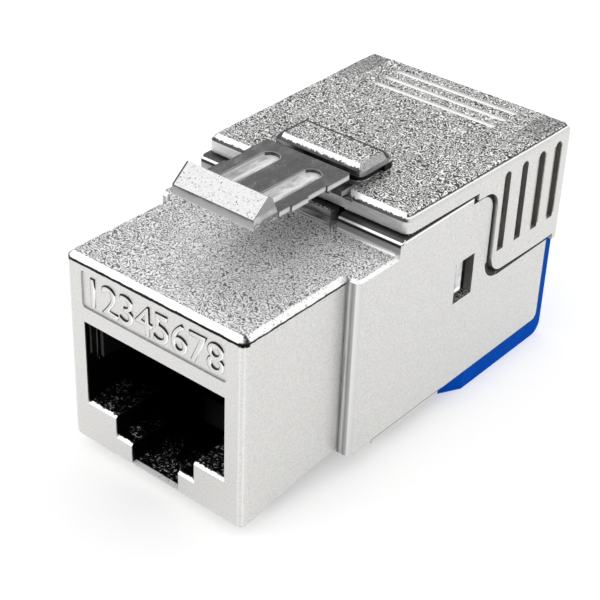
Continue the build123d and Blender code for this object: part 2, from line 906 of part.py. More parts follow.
# Wire manager: floor plate and rear wall outside, slotted block and cable cradle inside
with BuildPart() as wire_manager:
    with BuildSketch(Plane.XY.offset(foot_level)):
        with BuildLine():
            half = manager_width / 2
            Polyline(
                (-half + manager_nose_cut, manager_front),
                (half - manager_nose_cut, manager_front),
                (half, manager_front + manager_nose_run),
                (half, manager_end),
                (-half, manager_end),
                (-half, manager_front + manager_nose_run),
                close=True,
            )
        make_face()
    extrude(amount=belly_height - manager_clearance - foot_level)
    with BuildSketch(front_plane(manager_end - manager_wall)):
        with Locations((0, (foot_level + manager_top) / 2)):
            Rectangle(manager_width, manager_top - foot_level)
    extrude(amount=manager_wall)
    outer_corner = (
        wire_manager.edges()
        .filter_by(Axis.X)
        .filter_by(lambda edge: abs(edge.center().Y - manager_end) < 0.01)
        .filter_by(lambda edge: abs(edge.center().Z - foot_level) < 0.01)
    )
    fillet(outer_corner, manager_corner)

    # Inner block in front and cradle behind it
    with BuildSketch(front_plane(manager_block_front)):
        with Locations((0, (block_bottom + manager_block_top) / 2)):
            Rectangle(2 * block_half, manager_block_top - block_bottom)
    extrude(amount=manager_block_end - manager_block_front)
    with BuildSketch(front_plane(manager_block_end)):
        with Locations((0, (block_bottom + cradle_top) / 2)):
            Rectangle(2 * block_half, cradle_top - block_bottom)
    extrude(amount=manager_end - manager_block_end - manager_wall)

    # Room for the cross of the pair shield
    with BuildSketch(front_plane(manager_block_front)):
        with Locations((0, shield_web_height)):
            Rectangle(2 * block_half + 1, shield_web + 4 * part_clearance)
        with Locations((0, (block_bottom + manager_block_top) / 2)):
            Rectangle(shield_post + 4 * part_clearance, manager_block_top - block_bottom + 1)
    extrude(amount=shield_end - manager_block_front + 4 * part_clearance, mode=Mode.SUBTRACT)

    # Wire slots and the pockets that the forks enter
    with BuildSketch(front_plane(manager_block_front)):
        for x, z in idc_spots:
            with Locations((-x, z)):
                Rectangle(wire_slot_width, wire_slot_reach)
    extrude(amount=wire_slot_depth, mode=Mode.SUBTRACT)
    with BuildSketch(front_plane(manager_block_front)):
        for x, z in idc_spots:
            with Locations((-x, z)):
                Rectangle(
                    idc_width + 2 * blade_pocket_clearance,
                    idc_sheet + 2 * blade_pocket_clearance,
                )
    extrude(amount=blade_pocket_depth, mode=Mode.SUBTRACT)

    # Cable bore through the cradle and the rear wall
    with BuildSketch(front_plane(manager_block_end)):
        with Locations((0, cable_height)):
            Circle(cable_radius)
    extrude(amount=manager_end - manager_block_end, mode=Mode.SUBTRACT)
    with BuildSketch(front_plane(shield_end)):
        with Locations((0, cable_height)):
            Circle(block_bore_radius)
    extrude(amount=manager_block_end - shield_end, mode=Mode.SUBTRACT)
finish(wire_manager, "wire_manager")


# Ground springs: bowed strips in the side walls of the port
pocket_line = half_port + spring_sheet
for side, name in ((-1, "ground_spring_left"), (1, "ground_spring_right")):
    with BuildPart() as ground_spring:
        with BuildSketch(Plane.XY.offset(spring_middle)):
            with BuildLine():
                FilletPolyline(
                    (side * pocket_line, spring_root),
                    (side * pocket_line, spring_root - 1.6),
                    (side * (half_port - spring_bow), spring_bow_place),
                    (side * (half_port - spring_tip_bow), spring_tip),
                    radius=1.2,
                )
            trace(line_width=spring_sheet)
        extrude(amount=spring_height / 2, both=True)
    finish(ground_spring, name)


# Screen spring: leaf under the cover that presses on the braid of the cable
screen_top = cover_underside - screen_sheet / 2 - screen_seat_gap
with BuildPart() as screen_spring:
    with BuildSketch(Plane.YZ):
        with BuildLine():
            FilletPolyline(
                (screen_tab, screen_top),
                (screen_bend, screen_top),
                (screen_low, screen_top - screen_drop),
                (screen_low + 0.4, screen_top - screen_drop + 0.6),
                radius=0.2,
            )
        trace(line_width=screen_sheet)
    extrude(amount=screen_width / 2, both=True)
finish(screen_spring, "screen_spring")
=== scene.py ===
# %% [markdown]
# # A shielded keystone jack
# The packed solids are already the right shapes: the cast housing, the cover, the clear latch
# and the blue wire manager. This lesson gives them their finishes, adds the small raised
# numbers of the label panel, and photographs the jack on a white table.

import math

import bmesh
import bpy
from mathutils import Matrix, Vector


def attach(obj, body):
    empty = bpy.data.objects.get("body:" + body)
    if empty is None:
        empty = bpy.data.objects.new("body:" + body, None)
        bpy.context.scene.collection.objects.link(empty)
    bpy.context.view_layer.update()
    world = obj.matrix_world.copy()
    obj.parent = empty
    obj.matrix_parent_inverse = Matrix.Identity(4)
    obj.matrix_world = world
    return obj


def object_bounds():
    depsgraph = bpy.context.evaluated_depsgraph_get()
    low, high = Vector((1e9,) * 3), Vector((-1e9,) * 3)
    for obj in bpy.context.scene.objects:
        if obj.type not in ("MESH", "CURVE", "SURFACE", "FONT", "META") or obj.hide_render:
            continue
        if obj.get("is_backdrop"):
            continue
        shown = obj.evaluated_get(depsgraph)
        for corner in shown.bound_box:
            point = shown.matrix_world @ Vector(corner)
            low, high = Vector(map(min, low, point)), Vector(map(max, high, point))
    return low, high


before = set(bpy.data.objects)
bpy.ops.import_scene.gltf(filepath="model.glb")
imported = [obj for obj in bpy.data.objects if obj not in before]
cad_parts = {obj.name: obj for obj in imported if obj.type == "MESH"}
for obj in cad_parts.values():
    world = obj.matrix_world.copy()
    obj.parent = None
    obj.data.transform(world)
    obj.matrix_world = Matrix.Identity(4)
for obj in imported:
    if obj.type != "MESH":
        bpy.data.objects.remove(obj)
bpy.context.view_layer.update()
MM = 0.001


# %% [markdown]
# ## Camera
# The photograph looks down on the right front corner with a long lens, so edges that run away
# from the eye stay nearly parallel. The place and the angles below come from matching corners
# of the jack to the photograph.

# %% Camera
camera_data = bpy.data.cameras.new("camera")
camera = bpy.data.objects.new("camera", camera_data)
bpy.context.scene.collection.objects.link(camera)
camera.location = (0.0554092, -0.0548260, 0.0647681)
camera.rotation_euler = (
    math.radians(57.06793),
    math.radians(-1.92795),
    math.radians(39.88557),
)
camera_data.lens = 91.41
camera_data.sensor_width = 36
camera_data.clip_start = 0.005
camera_data.clip_end = 5
bpy.context.scene.camera = camera
print("camera", [round(v, 4) for v in camera.location])

# %% [markdown]
# ## Node helpers
# Every finish here is a network of shader nodes. A few helpers keep the script short: each
# takes numbers or sockets, adds a node or a few, and gives back an output socket. A mask is a
# socket that is 1 where a mark belongs and 0 elsewhere. Masks are made from the place on the
# object in millimetres and from the way a face looks, so a mark stays on its face from any
# side and at any pose.


# %% Helpers for shader networks
class Finish:
    """A material under construction, with the place on the object in millimetres."""

    def __init__(self, name):
        self.material = bpy.data.materials.new(name)
        self.material.use_nodes = True
        self.tree = self.material.node_tree
        self.shader = self.tree.nodes["Principled BSDF"]
        where = self.tree.nodes.new("ShaderNodeTexCoord")
        scale = self.tree.nodes.new("ShaderNodeVectorMath")
        scale.operation = "SCALE"
        scale.inputs["Scale"].default_value = 1 / MM
        self.tree.links.new(where.outputs["Object"], scale.inputs[0])
        self.place = scale.outputs[0]
        self.x, self.y, self.z = self.split(self.place)
        self.nx, self.ny, self.nz = self.split(where.outputs["Normal"])
        self.across = self.absolute(self.x)
        self.sideways = self.absolute(self.nx)

    def put(self, value, socket):
        if isinstance(value, bpy.types.NodeSocket):
            self.tree.links.new(value, socket)
        else:
            socket.default_value = value

    def split(self, vector):
        node = self.tree.nodes.new("ShaderNodeSeparateXYZ")
        self.tree.links.new(vector, node.inputs[0])
        return node.outputs

    def math(self, operation, a, b=0.0, c=0.0, clamp=False):
        node = self.tree.nodes.new("ShaderNodeMath")
        node.operation = operation
        node.use_clamp = clamp
        for value, socket in zip((a, b, c), node.inputs):
            self.put(value, socket)
        return node.outputs[0]

    def plus(self, a, b):
        return self.math("ADD", a, b)

    def less(self, a, b, clamp=False):
        return self.math("SUBTRACT", a, b, clamp=clamp)

    def times(self, a, b):
        return self.math("MULTIPLY", a, b)

    def scaled(self, value, factor, offset):
        """value times factor plus offset."""
        return self.math("MULTIPLY_ADD", value, factor, offset)

    def absolute(self, value):
        return self.math("ABSOLUTE", value)

    def distance(self, *pairs):
        """How far the place is from a point, from pairs of a coordinate and the point's."""
        gaps = [self.less(value, middle) for value, middle in pairs]
        squares = [self.times(gap, gap) for gap in gaps]
        return self.math("SQRT", self.plus(*squares))

    def repeat(self, value, start, pitch):
        """The place within one of many equal cells, 0 in the middle of each."""
        within = self.math("FLOORED_MODULO", self.less(value, start), pitch)
        return self.less(within, pitch / 2)

    def step(self, value, low, high):
        """0 below low, 1 above high, smooth between; low may be above high."""
        node = self.tree.nodes.new("ShaderNodeMapRange")
        node.interpolation_type = "SMOOTHSTEP"
        self.put(value, node.inputs["Value"])
        node.inputs["From Min"].default_value = low
        node.inputs["From Max"].default_value = high
        return node.outputs["Result"]

    def band(self, value, low, high, soft=0.02):
        """1 between low and high, 0 outside."""
        rise = self.step(value, low - soft, low + soft)
        fall = self.step(value, high + soft, high - soft)
        return self.times(rise, fall)

    def both(self, *masks):
        total = masks[0]
        for mask in masks[1:]:
            total = self.times(total, mask)
        return total

    def either(self, *masks):
        total = masks[0]
        for mask in masks[1:]:
            total = self.math("MAXIMUM", total, mask)
        return total

    def stretch(self, factors):
        node = self.tree.nodes.new("ShaderNodeVectorMath")
        node.operation = "MULTIPLY"
        self.tree.links.new(self.place, node.inputs[0])
        node.inputs[1].default_value = factors
        return node.outputs[0]

    def noise(self, scale, detail=2.0, rough=0.5, bend=0.0, where=None):
        node = self.tree.nodes.new("ShaderNodeTexNoise")
        self.tree.links.new(where or self.place, node.inputs["Vector"])
        node.inputs["Scale"].default_value = scale
        node.inputs["Detail"].default_value = detail
        node.inputs["Roughness"].default_value = rough
        node.inputs["Distortion"].default_value = bend
        return node.outputs["Fac"]

    def ramp(self, value, *stops):
        """Grey or coloured stops, each (place, grey) or (place, (r, g, b))."""
        node = self.tree.nodes.new("ShaderNodeValToRGB")
        self.put(value, node.inputs[0])
        colours = node.color_ramp.elements
        while len(colours) < len(stops):
            colours.new(0.5)
        for element, (spot, colour) in zip(colours, stops):
            element.position = spot
            rgb = colour if isinstance(colour, tuple) else (colour,) * 3
            element.color = (*rgb, 1)
        return node.outputs[0]

    def blend(self, mask, a, b):
        """a where the mask is 0 and b where it is 1, for colours."""
        node = self.tree.nodes.new("ShaderNodeMix")
        node.data_type = "RGBA"
        self.put(mask, node.inputs[0])
        for value, socket in ((a, node.inputs[6]), (b, node.inputs[7])):
            if isinstance(value, tuple):
                value = (*value, 1)
            elif isinstance(value, (int, float)):
                value = (value, value, value, 1)
            self.put(value, socket)
        return node.outputs[2]

    def bump(self, height, strength, distance, base=None):
        """A relief of the given height in millimetres, on top of another one if given."""
        node = self.tree.nodes.new("ShaderNodeBump")
        self.put(strength, node.inputs["Strength"])
        node.inputs["Distance"].default_value = distance * MM
        self.put(height, node.inputs["Height"])
        if base is not None:
            self.tree.links.new(base, node.inputs["Normal"])
        return node.outputs[0]

    def set(self, **values):
        """Shader inputs by name, with underscores for spaces."""
        for name, value in values.items():
            socket = self.shader.inputs[name.replace("_", " ")]
            if isinstance(value, tuple):
                value = (*value, 1)
            self.put(value, socket)
        return self.material


print("helpers", [name for name in vars(Finish) if not name.startswith("_")])

# %% [markdown]
# ## Plated casting
# The housing and the cover are zinc castings with a nickel plating. The tops of the mould
# were left coarse, so the deck, the cover and the strap carry a worm-like cast grain, while
# the upright faces are smooth satin with a faint speckle. The narrow bevels carry painted
# highlights, the brightest places, and painted dark reflections where they look forwards.
# One finish holds all three and chooses by which way a face looks. A function that is
# handed in adds the marks that only one piece has, and says how much of the metal there is
# chalky instead.

# %% Plated casting
WORM_PHASE = 38.0
STRAP_FOOT = 17.8


def plated_casting(name, own_marks):
    """Nickel plating: coarse on the tops, satin on the upright faces, painted light and shade on
    the bevels.
    """
    f = Finish(name)
    f.top = f.step(f.nz, 0.86, 0.95)
    slope = f.both(f.step(f.nz, 0.22, 0.34), f.step(f.nz, 0.93, 0.84))

    # The grain of the tops: rings round the hills of a noise, with pits between them
    contour = f.math("SINE", f.times(f.noise(2.3, 1.0, 0.4), WORM_PHASE))
    pits = f.noise(9.0, 2.0, 0.6)
    f.grain = f.plus(f.times(f.scaled(contour, 0.22, 0.5), 0.72), f.times(pits, 0.28))
    f.coarse = f.ramp(
        f.grain,
        (0.36, (0.02, 0.02, 0.019)),
        (0.45, (0.17, 0.17, 0.167)),
        (0.56, (0.50, 0.50, 0.49)),
        (0.65, (1.0, 1.0, 0.99)),
    )
    speckle = f.noise(9.0, 3.0, 0.7)
    f.satin = f.ramp(
        speckle,
        (0.30, (0.59, 0.585, 0.572)),
        (0.50, (0.70, 0.695, 0.68)),
        (0.72, (0.79, 0.785, 0.768)),
    )

    # Bevels: a painted highlight where they look sideways; where they look forwards a painted
    # dark reflection broken by the grain, grey on steeper bevels and on the raised edges above
    # the strap's foot
    bevel_highlight = f.ramp(f.noise(14.0, 2.0, 0.6), (0.28, 0.55), (0.36, 0.98), (0.7, 1.0))
    bevel_shade = f.ramp(f.noise(6.0, 3.0, 0.7), (0.42, 0.02), (0.54, 0.12), (0.66, 0.55))
    bevel_shade = f.blend(f.step(f.nz, 0.70, 0.62), bevel_shade, 0.62)
    raised_edge = f.ramp(speckle, (0.35, 0.22), (0.6, 0.50))
    bevel_shade = f.blend(f.step(f.z, STRAP_FOOT, STRAP_FOOT + 0.1), bevel_shade, raised_edge)
    bevel = f.blend(f.step(f.sideways, 0.35, 0.5), bevel_highlight, bevel_shade)
    colour = f.blend(slope, f.blend(f.top, f.satin, f.coarse), bevel)
    colour, chalk = own_marks(f, colour)

    satin_rough = f.ramp(speckle, (0.3, 0.46), (0.7, 0.36))
    coarse_rough = f.ramp(f.grain, (0.4, 0.5), (0.6, 0.3))
    rough = f.blend(slope, f.blend(f.top, satin_rough, coarse_rough), 0.3)
    relief = f.bump(f.grain, f.times(f.top, 0.5), 0.06)
    relief = f.bump(speckle, f.times(f.less(1.0, f.top), 0.10), 0.02, relief)
    metal = f.less(f.scaled(f.top, -0.45, 1.0), f.times(slope, 0.5))
    metal = f.less(metal, chalk, clamp=True)
    return f.set(Base_Color=colour, Metallic=metal, Roughness=rough, Normal=relief)


print("grain of", round(WORM_PHASE / math.tau, 1), "rings from valley to hill")

# %% [markdown]
# ## Marks of the housing: the deck
# The deck is the flat top in front of the cover. It is paler than the cover, with thinner
# dark lines, and it is painted paler still to the right and under the clear latch, painted
# light that lifts the latch's shade. The long bevels beside it carry a painted highlight,
# with a few dark nicks.

# %% Deck
FACE_HALF, FACE_TOP, NOSE_END = 7.6, 14.7, 9.55
BODY_HALF = 8.6
PALEST_X, PALEST_Y = 0.5, 9.3


def deck_marks(f, colour, nicks):
    """The deck and its bevels; gives back the colour and the mask of the deck."""
    deck = f.both(f.top, f.band(f.z, FACE_TOP - 0.1, FACE_TOP + 0.1, 0.02))
    lit = f.ramp(f.grain, (0.35, 0.10), (0.44, 0.34), (0.54, 0.68), (0.64, 0.95))
    palest = f.ramp(f.grain, (0.33, 0.10), (0.41, 0.50), (0.48, 0.95), (0.54, 1.0))
    # Painted light: paler grain to the right and round the middle under the latch
    under_latch = f.step(f.distance((f.x, PALEST_X), (f.y, PALEST_Y)), 6.5, 2.0)
    painted_light = f.math("MINIMUM", f.scaled(f.step(f.x, -7.0, -2.0), 0.5, under_latch), 1.0)
    colour = f.blend(deck, colour, f.blend(painted_light, lit, palest))
    # Painted highlight on the long bevels beside the deck, broken by dark nicks
    bevel = f.both(
        f.step(f.across, 7.0, 7.1),
        f.band(f.nz, 0.3, 0.8, 0.04),
        f.step(f.y, 0.5, 0.6),
    )
    colour = f.blend(bevel, colour, f.ramp(nicks, (0.34, 0.1), (0.40, 1.0)))
    return colour, deck


print("deck at", FACE_TOP, "mm, palest at", (PALEST_X, PALEST_Y))

# %% [markdown]
# ## Marks of the housing: the port
# The port is painted nearly black inside as shade, because little light finds its way in
# and out again. A few painted flecks of light lie on its floors near the mouth, and fine
# painted highlights follow the ledges and the ribs of its left wall. The sill under the mouth
# is a bevel with a painted highlight.

# %% Port
PORT_HALF, PORT_FLOOR, PORT_TOP = 6.1, 3.55, 9.9
SPRING_POCKET = 6.8


def port_marks(f, colour, nicks):
    """The port; gives back the colour, the sill's mask and how much metal to add."""
    port = f.both(
        f.step(f.y, 0.06, 0.12),
        f.step(f.across, PORT_HALF + 0.9, PORT_HALF + 0.8),
        f.step(f.z, PORT_TOP + 0.06, PORT_TOP + 0.01),
        f.step(f.z, 0.30, 0.36),
    )
    insert_seat = f.both(
        f.step(f.y, 1.3, 1.4),
        f.step(f.across, PORT_HALF + 0.1, PORT_HALF + 0.05),
        f.step(f.z, FACE_TOP - 0.9, FACE_TOP - 1.0),
        f.step(f.z, PORT_TOP - 0.1, PORT_TOP),
    )
    bevel = f.both(f.step(f.nz, 0.5, 0.6), f.step(f.nz, 0.85, 0.8), f.step(f.y, 0.26, 0.22))
    sill = f.both(f.step(f.nz, 0.3, 0.45), f.step(f.z, 0.72, 0.62), f.step(f.y, 0.44, 0.36))
    in_port = f.both(f.either(port, insert_seat), f.less(1.0, f.either(bevel, sill)))

    # Painted flecks of light in clusters on the floors
    bright = f.step(f.times(f.noise(5.2, 4.0, 0.8), f.step(f.nz, 0.5, 0.9)), 0.565, 0.61)
    near = f.both(f.step(f.y, 5.2, 0.3), f.step(f.y, 0.0, 0.2))
    clusters = f.step(f.noise(0.9, 2.0, 0.5), 0.36, 0.56)
    light_flecks = f.both(bright, near, clusters)
    # Painted shade: the port nearly black, darkest deep inside, with the flecks of light
    port_colour = f.blend(light_flecks, f.blend(f.step(f.y, 5.0, 0.2), 0.003, 0.012), 0.9)

    # Painted lines on the faces that look right: highlights on the ledges and the ribs, and
    # shade in the pocket of the spring
    faces_right = f.step(f.nx, 0.8, 0.9)
    floor_edge = f.band(f.z, PORT_FLOOR - 0.09, PORT_FLOOR - 0.02, 0.03)
    ledges = f.both(f.either(floor_edge, f.band(f.z, 1.9, 1.97, 0.03)), f.step(f.y, 7.5, 3.0))
    ribs = f.either(
        f.both(f.band(f.y, 0.42, 0.56, 0.03), f.band(f.z, 7.2, 9.7, 0.1)),
        f.both(f.band(f.y, 1.02, 1.14, 0.03), f.band(f.z, 6.6, 8.9, 0.1)),
    )
    pocket = f.both(
        f.step(f.x, -SPRING_POCKET, -SPRING_POCKET - 0.06),
        f.band(f.y, 1.75, 2.15, 0.03),
    )
    for line, strength, grey in ((ledges, 0.10, 0.9), (ribs, 0.8, 0.9), (pocket, 1.0, 0.10)):
        port_colour = f.blend(f.both(faces_right, line, strength), port_colour, grey)
    colour = f.blend(in_port, colour, port_colour)

    # The sill with a painted highlight, and the bevels of the floors painted dark as shade
    # with their ragged front edge
    colour = f.blend(sill, colour, f.ramp(nicks, (0.30, 0.1), (0.38, 1.0)))
    floor_bevel = f.both(
        f.band(f.nz, 0.5, 0.86, 0.04),
        f.step(f.z, 4.5, 4.3),
        f.step(f.z, 0.7, 0.8),
        f.step(f.y, 0.9, 0.8),
        f.step(f.scaled(nicks, 0.35, f.y), 0.31, 0.36),
    )
    colour = f.blend(floor_bevel, colour, 0.02)
    return colour, sill, f.times(in_port, f.scaled(light_flecks, -1.6, 0.6))


print("port", 2 * PORT_HALF, "mm wide, from z", PORT_FLOOR, "to", PORT_TOP)

# %% [markdown]
# ## Marks of the housing: the rear cavity
# The cavity behind the board shows when the cap slides back. It is painted a dull dark grey
# as the shade inside it, and so is the recess that the cover's edge lies in, which keeps the
# gap along that edge dark.

# %% Rear cavity
CAVITY_START, RECESS_START, SEAM_LOW = 14.6, 22.0, 8.2


def cavity_marks(f, colour):
    """Painted shade on the metal inside the rear of the housing and in its recess."""
    inside = f.both(
        f.step(f.y, CAVITY_START - 0.05, CAVITY_START + 0.02),
        f.step(f.across, BODY_HALF - 0.62, BODY_HALF - 0.66),
        f.step(f.nz, 0.9, 0.5),
    )
    recess = f.both(
        f.step(f.y, RECESS_START, RECESS_START + 0.06),
        f.either(f.step(f.y, 24.2, 24.3), f.step(f.z, 15.1, 15.2)),
        f.step(f.across, BODY_HALF - 0.02, BODY_HALF - 0.05),
        f.step(f.z, SEAM_LOW - 0.05, SEAM_LOW - 0.01),
    )
    # Painted shade: a dull dark grey
    dull_grey = f.ramp(f.noise(2.5, 3.0, 0.6), (0.35, 0.10), (0.65, 0.20))
    return f.blend(f.either(inside, recess), colour, dull_grey)


print("cavity from y", CAVITY_START)

# %% [markdown]
# ## Marks of the housing: the nose
# The nose is the front block with the label panel. A thin dark line is painted under the
# painted highlight of its bevel, a painted reflection of the dark side of the studio in the
# rounded metal, and fine upright lines of painted highlight follow the rounded corners. The
# walls of the label's frame are painted as thin grey lines of shade.

# %% Nose
PANEL_HALF, PANEL_LOW, PANEL_HIGH = 6.3, 10.9, 13.9


def nose_marks(f, colour):
    """The painted shade of the label's frame, the painted reflection under the bevel and the
    painted highlights of the corners.
    """
    # Painted shade on the walls of the label's frame
    frame_wall = f.both(
        f.step(f.ny, -0.8, -0.6),
        f.band(f.y, 0.0, 0.13, 0.01),
        f.band(f.z, PANEL_LOW, PANEL_HIGH, 0.02),
        f.step(f.across, PANEL_HALF, PANEL_HALF - 0.05),
    )
    upright = f.step(f.sideways, 0.5, 0.7)
    colour = f.blend(frame_wall, colour, f.blend(upright, 0.30, 0.55))

    # A painted reflection: the dark line under the bevel, a little wavy
    lifted = f.plus(f.z, f.scaled(f.noise(1.3, 3.0, 0.7), 0.16, -0.08))
    front = f.both(
        f.band(lifted, FACE_TOP - 0.56, FACE_TOP - 0.34, 0.03),
        f.step(f.y, 0.05, 0.02),
    )
    side = f.both(
        f.band(lifted, FACE_TOP - 0.48, FACE_TOP - 0.34, 0.03),
        f.step(f.y, NOSE_END, NOSE_END - 0.1),
        f.step(f.across, FACE_HALF - 0.1, FACE_HALF - 0.05),
    )
    corner = f.both(
        f.band(f.z, FACE_TOP - 0.62, FACE_TOP - 0.3, 0.05),
        f.step(f.y, 0.6, 0.45),
        f.step(f.across, FACE_HALF - 0.55, FACE_HALF - 0.42),
    )
    colour = f.blend(f.either(front, side, corner), colour, 0.006)

    # Painted highlights: the fine upright lines of the rounded corners
    corner_lines = f.both(
        f.step(f.y, 0.7, 0.6),
        f.step(f.z, FACE_TOP - 0.5, FACE_TOP - 0.6),
        f.step(f.ny, -0.1, -0.2),
        f.either(f.band(f.sideways, 0.20, 0.38, 0.05), f.band(f.sideways, 0.72, 0.84, 0.04)),
        f.step(f.absolute(f.nz), 0.3, 0.2),
    )
    return f.blend(f.times(corner_lines, 0.3), colour, 1.0)


print("label panel", 2 * PANEL_HALF, "mm wide and", PANEL_HIGH - PANEL_LOW, "mm high")

# %% [markdown]
# ## Marks of the housing: the shoulder
# The shoulder is the narrow strip where the body steps out behind the nose. It is painted
# with shade towards the nose and at its outer edge, with uneven upright streaks between, and
# its rounded edge is painted from dark to light as a highlight.


# %% Shoulder
def shoulder_marks(f, colour):
    """The strip of the shoulder painted with streaked shade, and its rounded edge with a painted
    highlight.
    """
    strip = f.both(
        f.step(f.ny, -0.7, -0.9),
        f.band(f.y, NOSE_END - 0.1, NOSE_END + 0.1, 0.02),
        f.step(f.across, FACE_HALF - 0.05, FACE_HALF),
    )
    uneven = f.noise(5.0, 2.0, 0.6, 0.0, f.stretch((1.6, 1.6, 0.12)))
    out = f.plus(f.less(f.across, FACE_HALF), f.scaled(uneven, 0.2, -0.1))
    shade = f.ramp(
        out,
        (0.02, 0.20),
        (0.18, 0.42),
        (0.27, 0.78),
        (0.36, 0.60),
        (0.48, 0.34),
        (0.56, 0.46),
    )
    colour = f.blend(strip, colour, shade)
    # Painted highlight on the rounded edge, turning from dark to light
    rounding = f.both(
        f.band(f.y, NOSE_END + 0.02, NOSE_END + 0.5, 0.02),
        f.step(f.across, BODY_HALF - 0.5, BODY_HALF - 0.45),
        f.band(f.sideways, 0.30, 0.97, 0.06),
        f.step(f.nz, 0.2, 0.1),
    )
    turning = f.ramp(f.sideways, (0.3, 0.36), (0.5, 0.78), (0.8, 0.70), (0.95, 0.64))
    return f.blend(rounding, colour, turning)


print("shoulder", round(BODY_HALF - FACE_HALF, 2), "mm wide at y", NOSE_END)

# %% [markdown]
# ## Marks of the housing: the ridge
# A low ridge crosses the housing in front of the cover. Its front is painted with shade,
# grey at its root and nearly black under its bevel, and the bevel itself is one painted
# bright thread of highlight. Its middle, below the latch, is painted darker and streaked as
# shade, and its top is painted dark as the shade under the cover.

# %% Ridge
RIDGE_FRONT, RIDGE_TOP = 13.7, 15.8


def ridge_marks(f, colour):
    """The painted shade and highlight of the ridge in front of the cover."""
    # Painted shade on the front of the ridge, streaked in its middle
    rise = f.less(f.z, FACE_TOP)
    front = f.both(
        f.band(f.y, RIDGE_FRONT - 0.1, RIDGE_FRONT + 0.05, 0.03),
        f.step(f.z, FACE_TOP + 0.02, FACE_TOP + 0.1),
    )
    greys = f.ramp(rise, (0.12, 0.62), (0.24, 0.40), (0.60, 0.34), (0.72, 0.03), (0.84, 0.02))
    streak = f.noise(1.2, 3.0, 0.6, 0.0, f.stretch((0.5, 1.0, 6.0)))
    middle = f.ramp(streak, (0.35, 0.10), (0.5, 0.28), (0.62, 0.42))
    colour = f.blend(front, colour, f.blend(f.step(f.across, 3.1, 3.0), greys, middle))
    # Painted highlight: the bright thread of the bevel
    bevel = f.both(
        f.band(f.y, RIDGE_FRONT + 0.01, RIDGE_FRONT + 0.35, 0.01),
        f.band(f.z, RIDGE_TOP - 0.3, RIDGE_TOP + 0.1, 0.02),
        f.step(f.across, 3.4, 3.5),
    )
    thread = f.ramp(rise, (0.86, 0.02), (0.91, 1.0), (1.02, 0.9), (1.07, 0.05))
    colour = f.blend(bevel, colour, thread)
    # Painted shade on the top of the ridge, under the cover
    top = f.both(
        f.step(f.z, RIDGE_TOP, RIDGE_TOP + 0.04),
        f.band(f.y, RIDGE_FRONT + 0.25, RIDGE_FRONT + 1.0, 0.05),
    )
    return f.blend(top, colour, 0.05)


print("ridge at y", RIDGE_FRONT, "up to z", RIDGE_TOP)

# %% [markdown]
# ## Marks of the housing: the seam
# Where the side plate of the housing meets the cover and the wire manager, a dark line of
# painted shade follows the step in the metal: along the top, down through a small notch,
# round a bend, and round a foot to the rear. The solids have the gap, and the colour paints
# its shade dark. A bright thread of painted highlight runs under its first part, and a faint
# crease is painted as a grey line of shade above the foot pad.

# %% Seam
SEAM_START, SEAM_FALL = 14.2, 24.46
BEND_Y, BEND_Z = 23.1, 13.896
FOOT_Y, FOOT_Z = 25.85, 9.55


def seam_marks(f, colour):
    """The painted shade of the seam over the side plate, its painted bright thread and the
    painted crease below.
    """
    bend = f.distance((f.y, BEND_Y), (f.z, BEND_Z))
    foot = f.distance((f.y, FOOT_Y), (f.z, FOOT_Z))
    seam = f.either(
        f.both(f.band(f.z, 15.67, 15.9), f.band(f.y, SEAM_START, RECESS_START)),
        f.both(f.band(f.y, RECESS_START - 0.07, RECESS_START + 0.1), f.band(f.z, 15.2, 15.9)),
        f.both(f.band(f.z, 15.17, 15.34), f.band(f.y, RECESS_START - 0.05, BEND_Y)),
        f.both(
            f.band(bend, 1.28, 1.44),
            f.step(f.y, BEND_Y - 0.02, BEND_Y + 0.02),
            f.step(f.z, 13.88, 13.92),
        ),
        f.both(f.band(f.y, SEAM_FALL - 0.08, SEAM_FALL + 0.08), f.band(f.z, 9.5, 13.9)),
        f.both(f.band(foot, 1.31, 1.62), f.step(f.y, 25.9, 25.8), f.step(f.z, 9.6, 9.5)),
        f.both(f.band(f.z, SEAM_LOW - 0.34, SEAM_LOW + 0.1), f.step(f.y, 25.8, 25.9)),
    )
    side_face = f.step(f.across, BODY_HALF - 0.05, BODY_HALF - 0.02)
    thread = f.both(f.band(f.z, 15.50, 15.61), f.band(f.y, SEAM_START, RECESS_START - 0.1))
    crease = f.both(f.step(f.z, 1.06, 1.0), f.band(f.y, 12.0, 20.2, 0.1))
    # Painted highlight on the thread, painted shade on the seam and the crease
    for line, grey in ((thread, 0.95), (seam, 0.012), (crease, 0.30)):
        colour = f.blend(f.both(line, side_face), colour, grey)
    return colour


print("seam from y", SEAM_START, "to its fall at y", SEAM_FALL)

# %% [markdown]
# ## Marks of the housing together
# The marks are painted one over the other, in this order. The deck and the sill scatter light
# like chalk, and the port keeps to plain metal, painted dark as shade, except at its painted
# flecks of light.


# %% Housing
def housing_marks(f, colour):
    """All marks of the housing, and how much of its metal is chalky."""
    nicks = f.noise(5.0, 3.0, 0.75)
    colour, deck = deck_marks(f, colour, nicks)
    colour, sill, port_metal = port_marks(f, colour, nicks)
    for marks in (cavity_marks, nose_marks, shoulder_marks, ridge_marks, seam_marks):
        colour = marks(f, colour)
    chalk = f.plus(f.times(deck, 0.25), f.times(sill, 0.6))
    return colour, f.less(chalk, port_metal)


casting_housing = plated_casting("plated_casting_housing", housing_marks)
print("housing finish", len(casting_housing.node_tree.nodes), "nodes")

# %% [markdown]
# ## Marks of the cover: grips
# The cover is gripped when the cap is pushed on. Its sides carry upright slots with a dull
# dark brownish floor, their walls painted darker with depth as shade, each with a narrow dark
# rim of painted shade where the mould rounded its edge. Its top carries three shallow grooves
# whose floors are painted white as a highlight, and the outer strips beside them darken to
# the rear.

# %% Grips
SLOT_START, SLOT_PITCH = 24.475, 2.09
SLOT_FLOOR, COVER_HALF = 8.5, 9.0


